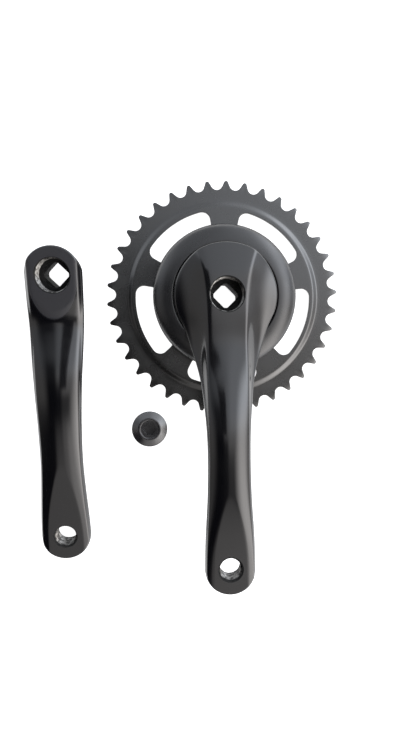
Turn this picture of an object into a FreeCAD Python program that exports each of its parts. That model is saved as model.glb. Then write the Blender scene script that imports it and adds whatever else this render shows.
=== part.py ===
import FreeCAD, Part
import math
import os

# Bicycle crankset laid out as a kit: drive-side crank with its chainring and guard disc,
# the left crank arm, and one dust cap. Millimetres, +Z up, origin under the centre of the kit.

# ---- both arms -------------------------------------------------------------------------------
CRANK_LENGTH = 170.0        # spindle axis to pedal axis
PEDAL_END_THICK = 12.5
PEDAL_OFFSET = 14.5         # pedal face stands this far outboard of the hub face
PEDAL_BORE_R = 7.14         # major radius of the 9/16 inch pedal thread
PEDAL_MOUTH_R = 8.0
PEDAL_BACK_MOUTH_R = 7.6
EXTRACTOR_R = 11.0          # major radius of the M22 x 1 extractor thread
EXTRACTOR_DEPTH = 11.5
EXTRACTOR_MOUTH_R = 11.5
SEAT_R = 8.3                # washer seat relief under the crank bolt
SEAT_DEPTH = 1.2
SQUARE_FLATS = 12.7         # across flats at the outboard end of the square taper
TAPER_DEG = 2.0             # per side
SQUARE_CORNER_R = 7.9       # drilled radius that clips the corners of the square
SOCKET_MOUTH_DEPTH = 1.4    # chamfer round the square on the bottom bracket side
SOCKET_MOUTH_WIDE = 2.0
THREAD_CHAMFER = 0.5
EDGE_FILLET = 1.0
FLANK_COVE_IN = 0.40        # the flank's cove: how far out its middle is, as a share of the flank
FLANK_COVE_DOWN = 0.58      # and how far down
PEDAL_FACE_SPAN = (100.0, 200.0)    # where the pedal end is faced flat, along the arm
HUB_FACE_SPAN = (-30.0, 28.0)       # where the left hub is faced flat
OVERSIZE = 100.0            # half size of a cutter that clears any section
PAST = 1.0                  # how far a cutter runs past the face that it opens

# ---- right arm (frame: chainring front face at z = 0, spindle axis on z, arm towards -Y) --------
RIGHT_HUB_FACE = 32.0
FLANGE_R = 33.4
FLANGE_BACK = 16.5
FLANGE_BLEND = 15.0         # from here on the arm's own outline replaces the round flange
SEAT_BOSS_R = 28.0
SPIGOT_R = 17.0
SPIGOT_BELOW_RING = 2.07
RIGHT_END_R = 16.0
DISC_CLEARANCE = 0.4        # under the arm, over the guard disc
BLEND_IN = 3.0              # how deep the boss and the spigot run into the flange

# ---- chainring ---------------------------------------------------------------------------------
TEETH = 38
PITCH = 12.7
ROLLER_R = 3.97
RING_THICK = 2.4
TIP_R = 79.2
TOOTH_TIP_HALF = 1.15
TOOTH_CHAMFER_R = 75.6
TOOTH_TIP_THICK = 0.9
WEB_RAISE = 1.66            # the web inside the joggle stands outboard of the tooth band
JOGGLE_IN_R = 62.2
JOGGLE_OUT_R = 64.8
WINDOWS = 5
WINDOW_IN_R = 44.5
WINDOW_OUT_R = 59.5
WINDOW_SPAN_DEG = 51.2
WINDOW_CORNER_R = 5.5
WINDOW_TURN_DEG = -91.1     # centre of the window beside the arm
TOOTH_TURN_DEG = 88.22      # one tooth tip, opposite the arm
RING_BORE_GAP = 0.03
TIP_ROUND = 0.5             # the tip's ends stand this much lower than its middle
SEAT_ARC_DEG = 62.0         # the roller seat reaches this far each side of its deepest point
JOGGLE_SHIFT = 0.6          # the back of the joggle lies this much nearer the spindle

# ---- guard disc --------------------------------------------------------------------------------
DISC_R = 47.3
DISC_WALL = 2.2
DISC_BORE_R = 28.1
DISC_LIP_R = 34.2
DISC_TOP = 20.6
DISC_SHOULDER = 13.0
DISC_SHOULDER_IN_R = 33.8
DISC_GAP = 0.05             # between its collar and the flange
DISC_STATIONS = 7           # points along the curve of its shoulder

# ---- rivets ------------------------------------------------------------------------------------
RIVETS = 5
RIVET_PITCH_R = 22.5
RIVET_R = 2.5
RIVET_HEAD_R = 4.3
RIVET_HEAD_H = 1.5
RIVET_HEAD_ROUND = 1.2
RIVET_END_GAP = 0.5
RIVET_DEPTH = 8.0
RIVET_GAP = 0.02

# ---- left arm (frame: hub face at z = 0, spindle axis on z, arm towards -Y) ---------------------
LEFT_HUB_R = 18.4
LEFT_HUB_BACK_R = 13.8
LEFT_HUB_EDGE = 3.4         # the hub tapers towards its back from this far below its face
LEFT_HUB_DEPTH = 29.0
LEFT_END_R = 16.3

# ---- dust cap ----------------------------------------------------------------------------------
CAP_R = 12.1
CAP_RIM_H = 1.0
CAP_TOP_H = 2.6
CAP_CREST_R = 7.4
CAP_THREAD_R = 10.9
CAP_SKIRT_H = 5.0
CAP_SKIRT_WALL = 2.0
CAP_RECESS_R = 6.1
CAP_RECESS_H = 1.6
CAP_HEX_FLATS = 8.0
CAP_HEX_H = 2.6
CAP_FLOOR = 1.4
CAP_EDGE = 0.4
CAP_THREAD_CHAMFER = 0.5

# ---- how the kit lies ----------------------------------------------------------------------------
RIGHT_TILT_DEG = 2.02       # the boss and the teeth below the arm touch the floor
RIGHT_TURN_DEG = 0.5
LEFT_TILT_DEG = 10.13       # the left arm rests on its hub and its pedal end
LEFT_TURN_DEG = 1.3
LEFT_HUB_XY = (-109.4, 10.4)
CAP_XY = (-50.4, -89.7)

# Stations along the right arm: distance from the spindle, half width of the crowned face, half
# width of the arm, height of the face, drop at the edge of the crown, height of the arm's edge,
# height of the back, how much narrower than the face the back is on each side.
RIGHT_STATIONS = (
    (-40.0, 21.5, 40.0, 24.6, 0.1, 19.5, 16.5, 2.2),
    (-30.0, 19.4, 39.0, 28.6, 0.1, 20.5, 16.5, 2.2),
    (-20.0, 16.6, 38.0, 31.3, 0.1, 21.3, 16.5, 2.2),
    (-8.0, 14.0, 38.0, 32.0, 0.1, 21.8, 16.5, 2.2),
    (4.0, 12.9, 35.0, 32.0, 0.1, 22.2, 16.5, 2.2),
    (12.0, 12.8, 31.1, 32.0, 0.1, 22.4, 16.5, 2.2),
    (19.0, 12.7, 27.8, 32.0, 0.2, 22.5, 16.6, 2.2),
    (31.0, 12.7, 23.8, 32.4, 0.5, 23.2, 17.4, 2.2),
    (42.0, 13.1, 20.3, 34.2, 1.2, 25.4, 19.2, 2.2),
    (54.0, 13.2, 17.3, 37.2, 2.2, 29.2, 22.4, 2.2),
    (68.0, 13.0, 15.4, 40.8, 3.0, 34.2, 26.8, 2.2),
    (84.0, 12.8, 14.0, 43.7, 3.5, 38.4, 30.6, 2.2),
    (100.0, 12.6, 13.5, 45.2, 3.6, 40.4, 32.6, 2.2),
    (116.0, 12.7, 13.6, 46.1, 3.5, 41.6, 33.6, 2.2),
    (132.0, 13.2, 14.2, 46.9, 3.2, 42.4, 34.0, 2.2),
    (148.0, 14.1, 15.2, 47.5, 2.7, 43.0, 34.0, 2.2),
    (161.0, 14.7, 15.7, 47.7, 2.4, 43.2, 34.0, 2.2),
    (174.0, 15.0, 15.9, 47.7, 2.3, 43.2, 34.0, 2.2),
    (190.0, 15.0, 15.9, 47.7, 2.3, 43.2, 34.0, 2.2),
)

# Stations along the left arm, measured from its hub face.
LEFT_STATIONS = (
    (-24.0, 16.0, 18.3, 0.7, 1.4, -3.4, -29.0, 4.6),
    (-10.0, 16.0, 18.3, 1.0, 1.4, -3.4, -29.0, 4.6),
    (4.0, 16.0, 18.2, 1.1, 1.5, -3.4, -29.0, 4.6),
    (16.0, 15.8, 18.0, 0.8, 1.6, -3.2, -28.4, 4.6),
    (28.0, 15.4, 17.6, -0.15, 1.7, -3.0, -24.2, 4.3),
    (38.0, 15.0, 17.1, 1.9, 2.2, -1.6, -19.0, 3.8),
    (48.0, 14.6, 16.6, 5.0, 2.7, 0.8, -13.8, 3.2),
    (58.0, 14.3, 16.0, 8.1, 3.1, 3.4, -9.0, 2.7),
    (68.0, 14.0, 15.4, 10.3, 3.3, 5.4, -5.0, 2.3),
    (78.0, 13.7, 14.9, 11.9, 3.4, 6.9, -2.1, 2.2),
    (90.0, 13.3, 14.3, 13.0, 3.4, 8.1, -0.1, 2.2),
    (104.0, 12.9, 13.9, 13.7, 3.2, 9.2, 1.2, 2.2),
    (120.0, 12.9, 13.8, 14.4, 3.0, 10.0, 1.9, 2.2),
    (136.0, 13.5, 14.5, 15.1, 2.8, 10.6, 2.0, 2.2),
    (150.0, 14.3, 15.4, 15.6, 2.6, 11.0, 2.0, 2.2),
    (162.0, 15.0, 16.1, 15.8, 2.5, 11.2, 2.0, 2.2),
    (174.0, 15.4, 16.4, 15.8, 2.4, 11.2, 2.0, 2.2),
    (190.0, 15.4, 16.4, 15.8, 2.4, 11.2, 2.0, 2.2),
)


def vec(x, y, z):
    return FreeCAD.Vector(x, y, z)


def cylinder(radius, bottom, top, x=0.0, y=0.0):
    return Part.makeCylinder(radius, top - bottom, vec(x, y, bottom))


def cone(bottom_r, top_r, bottom, top, x=0.0, y=0.0):
    return Part.makeCone(bottom_r, top_r, top - bottom, vec(x, y, bottom))


def polar(radius, degrees, z=0.0):
    angle = math.radians(degrees)
    return vec(radius * math.cos(angle), radius * math.sin(angle), z)


def revolve(edges):
    face = Part.Face(Part.Wire(edges))
    return face.revolve(vec(0, 0, 0), vec(0, 0, 1), 360.0)


def polyline(points):
    corners = list(points) + [points[0]]
    return [Part.makeLine(a, b) for a, b in zip(corners, corners[1:])]


def extruded(wire, bottom, top):
    prism = Part.Face(wire).extrude(vec(0, 0, top - bottom))
    prism.translate(vec(0, 0, bottom))
    return prism


def arc(start, middle, end):
    return Part.Arc(start, middle, end).toShape()


def arm_section(distance, crown_w, half_w, face, drop, edge, back, draft):
    """Closed section across an arm: crowned face, two flanks and a flat back."""
    y = -distance
    ridge = face - drop
    left_back = vec(-half_w + draft, y, back)
    right_back = vec(half_w - draft, y, back)
    left_edge = vec(-half_w, y, edge)
    right_edge = vec(half_w, y, edge)
    left_ridge = vec(-crown_w, y, ridge)
    right_ridge = vec(crown_w, y, ridge)
    # the flank is a shallow cove, steep under the crown and flatter at the edge
    cove_x = crown_w + FLANK_COVE_IN * (half_w - crown_w)
    cove_z = ridge + FLANK_COVE_DOWN * (edge - ridge)
    left_cove = vec(-cove_x, y, cove_z)
    right_cove = vec(cove_x, y, cove_z)
    return Part.Wire([
        Part.makeLine(left_back, right_back),
        Part.makeLine(right_back, right_edge),
        arc(right_edge, right_cove, right_ridge),
        arc(right_ridge, vec(0, y, face), left_ridge),
        arc(left_ridge, left_cove, left_edge),
        Part.makeLine(left_edge, left_back),
    ])


def arm_blank(stations, hub_end, shank_start, end_r):
    """Forged blank lofted through its stations, rounded off at the hub and at the pedal end."""
    blank = Part.makeLoft([arm_section(*row) for row in stations], True, False)
    pedal_end = cylinder(end_r, -OVERSIZE, OVERSIZE, 0.0, -CRANK_LENGTH)
    length = CRANK_LENGTH - shank_start
    corner = vec(-OVERSIZE, -CRANK_LENGTH, -OVERSIZE)
    shank = Part.makeBox(2 * OVERSIZE, length, 2 * OVERSIZE, corner)
    return blank.common(hub_end.fuse([shank, pedal_end]))


def spindle_socket(face, depth):
    """Cutter for the extractor thread, the washer seat and the square taper below them."""
    seat = face - EXTRACTOR_DEPTH
    square_top = seat - SEAT_DEPTH
    bottom = face - depth
    length = square_top - bottom + PAST
    widening = length * math.tan(math.radians(TAPER_DEG))
    top_half = SQUARE_FLATS / 2
    low_half = top_half + widening
    wires = []
    for half, z in ((top_half, square_top), (low_half, square_top - length)):
        reach = half * math.sqrt(2.0)
        corners = [polar(reach, turn, z) for turn in (0, 90, 180, 270)]
        wires.append(Part.Wire(polyline(corners)))
    taper = Part.makeLoft(wires, True, True)
    corner_drill = cone(SQUARE_CORNER_R + widening, SQUARE_CORNER_R, square_top - length, square_top)
    thread = cylinder(EXTRACTOR_R, seat, face + PAST)
    chamfer = cone(EXTRACTOR_R, EXTRACTOR_MOUTH_R + PAST, face - THREAD_CHAMFER, face + PAST)
    relief = cylinder(SEAT_R, square_top, seat)
    mouth = cone(low_half + SOCKET_MOUTH_WIDE, low_half, bottom, bottom + SOCKET_MOUTH_DEPTH)
    return taper.common(corner_drill).fuse([thread, chamfer, relief, mouth])


def pedal_bore(face):
    back = face - PEDAL_END_THICK
    y = -CRANK_LENGTH
    front_depth = PEDAL_MOUTH_R - PEDAL_BORE_R
    back_depth = PEDAL_BACK_MOUTH_R - PEDAL_BORE_R
    hole = cylinder(PEDAL_BORE_R, back - PAST, face + PAST, 0.0, y)
    front = cone(PEDAL_BORE_R, PEDAL_MOUTH_R + PAST, face - front_depth, face + PAST, 0.0, y)
    rear = cone(PEDAL_BACK_MOUTH_R + PAST, PEDAL_BORE_R, back - PAST, back + back_depth, 0.0, y)
    return hole.fuse([front, rear])


def faced_off(blank, face, start, end):
    """Machine a flat at height face between two distances along the arm."""
    cutter = Part.makeBox(2 * OVERSIZE, end - start, OVERSIZE, vec(-OVERSIZE, -end, face))
    return blank.cut(cutter)


def eased(blank):
    """Round the long edges beside the crowned face and along the back."""
    blank = blank.removeSplitter()
    long_edges = [e for e in blank.Edges if e.Length > 0.7 * CRANK_LENGTH]
    by_height = sorted(long_edges, key=lambda e: e.CenterOfMass.z)
    return blank.makeFillet(EDGE_FILLET, by_height[:2] + by_height[-2:])


def right_crank_arm():
    blank = arm_blank(RIGHT_STATIONS, cylinder(FLANGE_R, -OVERSIZE, OVERSIZE), FLANGE_BLEND, RIGHT_END_R)
    pedal_face = RIGHT_HUB_FACE + PEDAL_OFFSET
    blank = eased(faced_off(blank, pedal_face, *PEDAL_FACE_SPAN))
    # the arm leaves the round flange above the guard disc
    relief = cylinder(OVERSIZE, -OVERSIZE, DISC_TOP + DISC_CLEARANCE)
    relief = relief.cut(cylinder(FLANGE_R, -OVERSIZE, OVERSIZE))
    blank = blank.cut(relief)
    web_top = WEB_RAISE
    boss = cylinder(SEAT_BOSS_R, web_top, FLANGE_BACK + BLEND_IN)
    spigot_end = -RING_THICK - SPIGOT_BELOW_RING
    spigot = cylinder(SPIGOT_R, spigot_end, web_top + BLEND_IN)
    arm = blank.fuse([boss, spigot])
    arm = arm.cut(spindle_socket(RIGHT_HUB_FACE, RIGHT_HUB_FACE - spigot_end))
    arm = arm.cut(pedal_bore(pedal_face))
    for rivet in rivet_places():
        arm = arm.cut(cylinder(RIVET_R + RIVET_GAP, web_top - PAST, web_top + RIVET_DEPTH, rivet.x, rivet.y))
    return arm.removeSplitter()


def left_crank_arm():
    hub_front = cylinder(LEFT_HUB_R, -LEFT_HUB_EDGE, OVERSIZE)
    hub_back = cone(LEFT_HUB_BACK_R, LEFT_HUB_R, -LEFT_HUB_DEPTH, -LEFT_HUB_EDGE)
    blank = arm_blank(LEFT_STATIONS, hub_front.fuse(hub_back), 0.0, LEFT_END_R)
    blank = faced_off(blank, 0.0, *HUB_FACE_SPAN)
    blank = eased(faced_off(blank, PEDAL_OFFSET, *PEDAL_FACE_SPAN))
    arm = blank.cut(spindle_socket(0.0, LEFT_HUB_DEPTH))
    arm = arm.cut(pedal_bore(PEDAL_OFFSET))
    return arm.removeSplitter()


def rivet_places():
    step = 360.0 / RIVETS
    return [polar(RIVET_PITCH_R, WINDOW_TURN_DEG + step * (i + 0.5)) for i in range(RIVETS)]


def tooth_outline():
    """Closed outline of the toothed rim: a roller seat arc between straight-flanked teeth."""
    pitch_angle = 360.0 / TEETH
    pitch_r = PITCH / 2 / math.sin(math.radians(pitch_angle / 2))
    edges = []
    for i in range(TEETH):
        tip_turn = TOOTH_TURN_DEG + i * pitch_angle
        seat_turn = tip_turn + pitch_angle / 2
        seat = polar(pitch_r, seat_turn)
        seat_arc = [seat + polar(ROLLER_R, seat_turn + 180.0 + side * SEAT_ARC_DEG) for side in (-1, 0, 1)]
        half_tip = math.degrees(TOOTH_TIP_HALF / TIP_R)
        tip = [polar(TIP_R - TIP_ROUND * abs(side), tip_turn + side * half_tip) for side in (-1, 0, 1)]
        next_tip_start = polar(TIP_R - TIP_ROUND, tip_turn + pitch_angle - half_tip)
        edges.append(arc(*tip))
        edges.append(Part.makeLine(tip[2], seat_arc[2]))
        edges.append(arc(seat_arc[2], seat_arc[1], seat_arc[0]))
        edges.append(Part.makeLine(seat_arc[0], next_tip_start))
    return Part.Wire(edges)


def ring_window():
    """Arc-shaped opening with rounded corners, centred on +X."""
    half = WINDOW_SPAN_DEG / 2
    outer = [polar(WINDOW_OUT_R, turn) for turn in (-half, 0.0, half)]
    inner = [polar(WINDOW_IN_R, turn) for turn in (half, 0.0, -half)]
    wire = Part.Wire([
        arc(*outer),
        Part.makeLine(outer[2], inner[0]),
        arc(*inner),
        Part.makeLine(inner[2], outer[0]),
    ])
    prism = extruded(wire, -OVERSIZE, OVERSIZE)
    corners = [e for e in prism.Edges if abs(e.Length - 2 * OVERSIZE) < 1e-6]
    return prism.makeFillet(WINDOW_CORNER_R, corners)


def chainring():
    bore = SPIGOT_R + RING_BORE_GAP
    thin = (RING_THICK - TOOTH_TIP_THICK) / 2
    rim = TIP_R + PAST
    profile = [
        vec(bore, 0, WEB_RAISE),
        vec(JOGGLE_IN_R, 0, WEB_RAISE),
        vec(JOGGLE_OUT_R, 0, 0),
        vec(TOOTH_CHAMFER_R, 0, 0),
        vec(rim, 0, -thin),
        vec(rim, 0, -RING_THICK + thin),
        vec(TOOTH_CHAMFER_R, 0, -RING_THICK),
        vec(JOGGLE_OUT_R - JOGGLE_SHIFT, 0, -RING_THICK),
        vec(JOGGLE_IN_R - JOGGLE_SHIFT, 0, WEB_RAISE - RING_THICK),
        vec(bore, 0, WEB_RAISE - RING_THICK),
    ]
    plate = revolve(polyline(profile))
    plate = plate.common(extruded(tooth_outline(), -OVERSIZE, OVERSIZE))
    step = 360.0 / WINDOWS
    for i in range(WINDOWS):
        window = ring_window()
        window.rotate(vec(0, 0, 0), vec(0, 0, 1), WINDOW_TURN_DEG + i * step)
        plate = plate.cut(window)
    for rivet in rivet_places():
        plate = plate.cut(cylinder(RIVET_R + RIVET_GAP, -OVERSIZE, OVERSIZE, rivet.x, rivet.y))
    return plate.removeSplitter()


def ellipse_point(centre_r, centre_z, reach, rise, degrees):
    angle = math.radians(degrees)
    return vec(centre_r + reach * math.cos(angle), 0, centre_z + rise * math.sin(angle))


def spline(points):
    curve = Part.BSplineCurve()
    curve.interpolate(points)
    return curve.toShape()


def guard_disc():
    """Dished cover: a collar clamped under the flange, a lip beside it and a domed shoulder."""
    reach = DISC_R - DISC_SHOULDER_IN_R
    rise = DISC_TOP - DISC_SHOULDER
    lip_angle = math.degrees(math.acos((DISC_LIP_R - DISC_SHOULDER_IN_R) / reach))
    turns = [lip_angle * (1 - i / (DISC_STATIONS - 1)) for i in range(DISC_STATIONS)]
    outer = [ellipse_point(DISC_SHOULDER_IN_R, DISC_SHOULDER, reach, rise, t) for t in turns]
    inner = [
        ellipse_point(DISC_SHOULDER_IN_R, DISC_SHOULDER, reach - DISC_WALL, rise - DISC_WALL, t)
        for t in reversed(turns)
    ]
    collar_top = FLANGE_BACK - DISC_GAP
    collar_low = collar_top - DISC_WALL
    lip_in = DISC_LIP_R + DISC_WALL
    inner = [p for p in inner if p.x > lip_in + PAST]
    foot = WEB_RAISE
    edges = [
        Part.makeLine(vec(DISC_BORE_R, 0, collar_top), vec(DISC_LIP_R, 0, collar_top)),
        Part.makeLine(vec(DISC_LIP_R, 0, collar_top), outer[0]),
        spline(outer),
        Part.makeLine(outer[-1], vec(DISC_R, 0, foot)),
        Part.makeLine(vec(DISC_R, 0, foot), vec(DISC_R - DISC_WALL, 0, foot)),
        Part.makeLine(vec(DISC_R - DISC_WALL, 0, foot), inner[0]),
        spline(inner),
        Part.makeLine(inner[-1], vec(lip_in, 0, inner[-1].z)),
        Part.makeLine(vec(lip_in, 0, inner[-1].z), vec(lip_in, 0, collar_low)),
        Part.makeLine(vec(lip_in, 0, collar_low), vec(DISC_BORE_R, 0, collar_low)),
        Part.makeLine(vec(DISC_BORE_R, 0, collar_low), vec(DISC_BORE_R, 0, collar_top)),
    ]
    return revolve(edges)


def chainring_rivets():
    back = WEB_RAISE - RING_THICK
    rivets = []
    for place in rivet_places():
        shank = cylinder(RIVET_R, back, WEB_RAISE + RIVET_DEPTH - RIVET_END_GAP, place.x, place.y)
        head = cylinder(RIVET_HEAD_R, back - RIVET_HEAD_H, back, place.x, place.y)
        low_edge = min(head.Edges, key=lambda e: e.CenterOfMass.z)
        head = head.makeFillet(RIVET_HEAD_ROUND, [low_edge])
        rivets.append(shank.fuse(head).removeSplitter())
    return Part.makeCompound(rivets)


def hexagon(flats, bottom, top):
    reach = flats / math.sqrt(3.0)
    corners = [polar(reach, 60.0 * i, bottom) for i in range(6)]
    return Part.Face(Part.Wire(polyline(corners))).extrude(vec(0, 0, top - bottom))


def dust_cap():
    """Dust cap standing on its threaded skirt, with a key socket in a round recess."""
    rim = CAP_SKIRT_H + CAP_RIM_H
    crest = CAP_SKIRT_H + CAP_TOP_H
    under = crest - CAP_RECESS_H - CAP_HEX_H - CAP_FLOOR
    skirt_in = CAP_THREAD_R - CAP_SKIRT_WALL
    profile = [
        vec(0, 0, crest),
        vec(CAP_CREST_R, 0, crest),
        vec(CAP_R - CAP_EDGE, 0, rim),
        vec(CAP_R, 0, rim - CAP_EDGE),
        vec(CAP_R, 0, CAP_SKIRT_H),
        vec(CAP_THREAD_R, 0, CAP_SKIRT_H),
        vec(CAP_THREAD_R, 0, CAP_THREAD_CHAMFER),
        vec(CAP_THREAD_R - CAP_THREAD_CHAMFER, 0, 0),
        vec(skirt_in, 0, 0),
        vec(skirt_in, 0, under),
        vec(0, 0, under),
    ]
    cap = revolve(polyline(profile))
    recess = cylinder(CAP_RECESS_R, crest - CAP_RECESS_H, crest + PAST)
    socket = hexagon(CAP_HEX_FLATS, crest - CAP_RECESS_H - CAP_HEX_H, crest)
    return cap.cut(recess.fuse(socket))


def lay(shape, tilt, turn, x, y):
    """Tilt a piece about X, turn it on the floor and set its own origin at x, y."""
    laid = shape.copy()
    laid.rotate(vec(0, 0, 0), vec(1, 0, 0), tilt)
    laid.rotate(vec(0, 0, 0), vec(0, 0, 1), turn)
    laid.translate(vec(x, y, 0))
    return laid


def drop_to_floor(shapes):
    low = min(s.optimalBoundingBox(False).ZMin for s in shapes)
    for shape in shapes:
        shape.translate(vec(0, 0, -low))


def laid_out():
    """Every node of the kit in the shared frame."""
    drive = {
        "right_crank_arm": right_crank_arm(),
        "chainring": chainring(),
        "guard_disc": guard_disc(),
        "chainring_rivets": chainring_rivets(),
    }
    nodes = {name: lay(shape, RIGHT_TILT_DEG, RIGHT_TURN_DEG, 0.0, 0.0) for name, shape in drive.items()}
    drop_to_floor(list(nodes.values()))
    left = lay(left_crank_arm(), LEFT_TILT_DEG, LEFT_TURN_DEG, *LEFT_HUB_XY)
    cap = lay(dust_cap(), 0.0, 0.0, *CAP_XY)
    for name, shape in (("left_crank_arm", left), ("dust_cap", cap)):
        drop_to_floor([shape])
        nodes[name] = shape
    boxes = [s.optimalBoundingBox(False) for s in nodes.values()]
    middle_x = (min(b.XMin for b in boxes) + max(b.XMax for b in boxes)) / 2
    middle_y = (min(b.YMin for b in boxes) + max(b.YMax for b in boxes)) / 2
    for shape in nodes.values():
        shape.translate(vec(-middle_x, -middle_y, 0))
    return nodes


os.makedirs("parts", exist_ok=True)
for node, solid in laid_out().items():
    solid.exportStep("parts/" + node + ".step")
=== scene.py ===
import math

import bmesh
import bpy
import numpy as np
from mathutils import Matrix, Vector

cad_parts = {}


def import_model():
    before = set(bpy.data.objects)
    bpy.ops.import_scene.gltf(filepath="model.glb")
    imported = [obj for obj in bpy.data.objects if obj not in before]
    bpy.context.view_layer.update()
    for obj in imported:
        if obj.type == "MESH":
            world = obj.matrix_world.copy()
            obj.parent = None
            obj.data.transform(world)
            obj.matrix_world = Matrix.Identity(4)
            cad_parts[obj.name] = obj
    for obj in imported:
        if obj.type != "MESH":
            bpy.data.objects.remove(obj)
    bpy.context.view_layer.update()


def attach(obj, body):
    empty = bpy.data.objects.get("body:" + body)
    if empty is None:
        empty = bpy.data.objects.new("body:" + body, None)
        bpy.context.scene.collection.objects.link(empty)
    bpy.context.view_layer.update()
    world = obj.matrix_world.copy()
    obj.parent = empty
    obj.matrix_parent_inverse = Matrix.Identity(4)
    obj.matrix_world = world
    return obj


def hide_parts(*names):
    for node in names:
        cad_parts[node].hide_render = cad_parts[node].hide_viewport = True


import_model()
MM = 0.001

# ---------------------------------------------------------------- where the pieces lie (metres)
DRIVE_AT = (0.024338, 0.054161, 0.005066)
DRIVE_TILT, DRIVE_TURN = 2.02, 0.5
LEFT_AT = (-0.085062, 0.064561, 0.030772)
LEFT_TILT, LEFT_TURN = 10.13, 1.3
CAP_AT = (-0.026062, -0.035539, 0.0)

# ---------------------------------------------------------------- driving dimensions (millimetres)
CRANK = 170.0
END_THICK = 12.5
OFFSET = 14.5
PEDAL_R, PEDAL_MOUTH_R, PEDAL_BACK_R = 7.14, 8.0, 7.6
EXTRACTOR_R, EXTRACTOR_DEPTH, EXTRACTOR_MOUTH_R = 11.0, 11.5, 11.5
RELIEF_R, RELIEF_DEPTH = 8.3, 1.2
SQUARE, TAPER, CORNER_R = 12.7, 2.0, 7.9
HUB_FACE, FLANGE_R, FLANGE_BLEND, RIGHT_END_R = 32.0, 33.4, 15.0, 16.0
BOSS_R, SPIGOT_R, SPIGOT_END = 28.0, 17.0, -4.47
LEFT_HUB_R, LEFT_HUB_DEPTH, LEFT_END_R = 18.4, 29.0, 16.3
DISC_CLEARANCE = 0.4
EXTRACTOR_PITCH, EXTRACTOR_RIDGE, PEDAL_PITCH, PEDAL_RIDGE = 1.0, 0.55, 1.27, 0.66
RIDGE_SOFTNESS, PLANE_SOFTNESS = 0.8, 0.05
FLANK_STEEPNESS = 1.75

TEETH, PITCH, ROLLER_R, SEAT_ARC = 38, 12.7, 3.97, 62.0
TIP_R, TIP_HALF, TIP_ROUND, TIP_THICK, TOOTH_CHAMFER_R = 79.2, 1.15, 0.5, 0.9, 75.6
WEB, RING_THICK, RING_BORE_R = 1.66, 2.4, 17.03
JOGGLE_START_R, JOGGLE_END_R, JOGGLE_SHIFT = 61.4, 65.6, 0.6
WINDOWS, WINDOW_IN_R, WINDOW_OUT_R, WINDOW_SPAN, WINDOW_CORNER_R = 5, 44.5, 59.5, 51.2, 5.5
WINDOW_TURN, TOOTH_TURN = -91.1, 88.22
RING_EDGE = 0.25

DISC_R, DISC_WALL, DISC_BORE_R, DISC_LIP_R, DISC_TOP = 47.3, 2.2, 28.1, 34.2, 20.6
DISC_SHOULDER, DISC_SHOULDER_IN_R, DISC_COLLAR = 13.0, 33.8, 16.45

RIVETS, RIVET_PITCH_R, RIVET_R, RIVET_HEAD_R, RIVET_HEAD_H = 5, 22.5, 2.5, 4.3, 1.5

CAP_R, CAP_SKIRT_H, CAP_RIM_H, CAP_TOP_H, CAP_CREST_R = 12.1, 5.0, 1.0, 2.6, 7.4
CAP_THREAD_R, CAP_SKIRT_IN_R, CAP_RECESS_R, CAP_RECESS_H = 10.9, 8.9, 6.1, 1.6
CAP_HEX_FLATS, CAP_HEX_H, CAP_FLOOR = 8.0, 2.6, 1.4

# distance from the spindle, half width of the crowned face, half width, face, crown drop, edge, back, draft
RIGHT_STATIONS = (
    (-40.0, 21.5, 40.0, 24.6, 0.1, 19.5, 16.5, 2.2),
    (-30.0, 19.4, 39.0, 28.6, 0.1, 20.5, 16.5, 2.2),
    (-20.0, 16.6, 38.0, 31.3, 0.1, 21.3, 16.5, 2.2),
    (-8.0, 14.0, 38.0, 32.0, 0.1, 21.8, 16.5, 2.2),
    (4.0, 12.9, 35.0, 32.0, 0.1, 22.2, 16.5, 2.2),
    (12.0, 12.8, 31.1, 32.0, 0.1, 22.4, 16.5, 2.2),
    (19.0, 12.7, 27.8, 32.0, 0.2, 22.5, 16.6, 2.2),
    (31.0, 12.7, 23.8, 32.4, 0.5, 23.2, 17.4, 2.2),
    (42.0, 13.1, 20.3, 34.2, 1.2, 25.4, 19.2, 2.2),
    (54.0, 13.2, 17.3, 37.2, 2.2, 29.2, 22.4, 2.2),
    (68.0, 13.0, 15.4, 40.8, 3.0, 34.2, 26.8, 2.2),
    (84.0, 12.8, 14.0, 43.7, 3.5, 38.4, 30.6, 2.2),
    (100.0, 12.6, 13.5, 45.2, 3.6, 40.4, 32.6, 2.2),
    (116.0, 12.7, 13.6, 46.1, 3.5, 41.6, 33.6, 2.2),
    (132.0, 13.2, 14.2, 46.9, 3.2, 42.4, 34.0, 2.2),
    (148.0, 14.1, 15.2, 47.5, 2.7, 43.0, 34.0, 2.2),
    (161.0, 14.7, 15.7, 47.7, 2.4, 43.2, 34.0, 2.2),
    (174.0, 15.0, 15.9, 47.7, 2.3, 43.2, 34.0, 2.2),
    (190.0, 15.0, 15.9, 47.7, 2.3, 43.2, 34.0, 2.2),
)
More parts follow.
